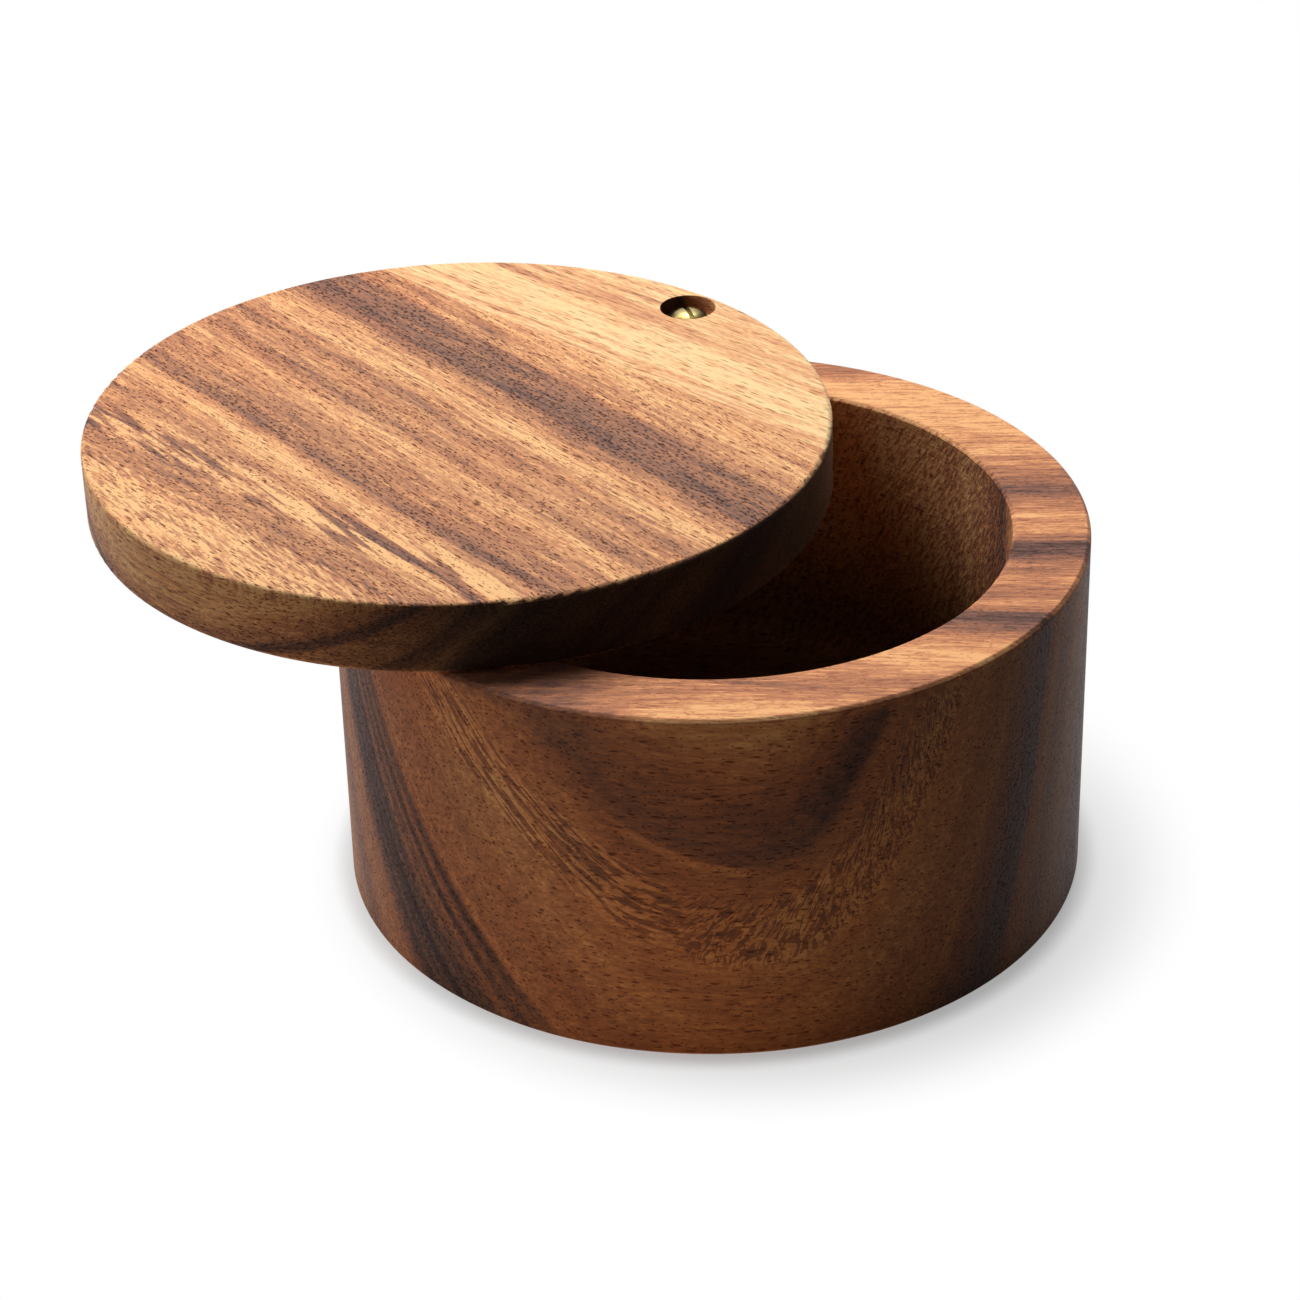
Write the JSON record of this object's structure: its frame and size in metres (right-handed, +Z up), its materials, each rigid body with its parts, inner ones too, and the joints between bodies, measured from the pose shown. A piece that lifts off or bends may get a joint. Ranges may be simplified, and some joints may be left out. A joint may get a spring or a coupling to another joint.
{
  "type": "salt box",
  "caption": "Round solid-wood salt box with a flat wooden lid that swings sideways on a sunk brass screw to open the bored cavity.",
  "frame": {"origin": "centre of the round base, on the surface the box stands on", "axes": "+Z up, through the cavity's mouth; +Y towards the wall that holds the pivot screw; +X to the right seen from the front. The lid is drawn part open, swung clockwise seen from above"},
  "size_m": [0.1685, 0.1447, 0.0762],
  "materials": {
    "box_wood": "oiled acacia, satin",
    "lid_main_wood": "oiled acacia, satin",
    "lid_edge_wood": "oiled acacia, satin, a paler board",
    "screw_brass": "bright turned brass, slightly dulled"
  },
  "bodies": {
    "box": {"box_body": "box_wood", "pivot_screw": "screw_brass"},
    "lid": {"lid_main_board": "lid_main_wood", "lid_edge_board": "lid_edge_wood"}
  },
  "joints": [
    {"name": "lid_swivel", "type": "hinge", "parent": "box", "child": "lid", "pos_m": [0, 0.0575, 0.0637], "axis": [0, 0, 1], "continuous": true}
  ]
}
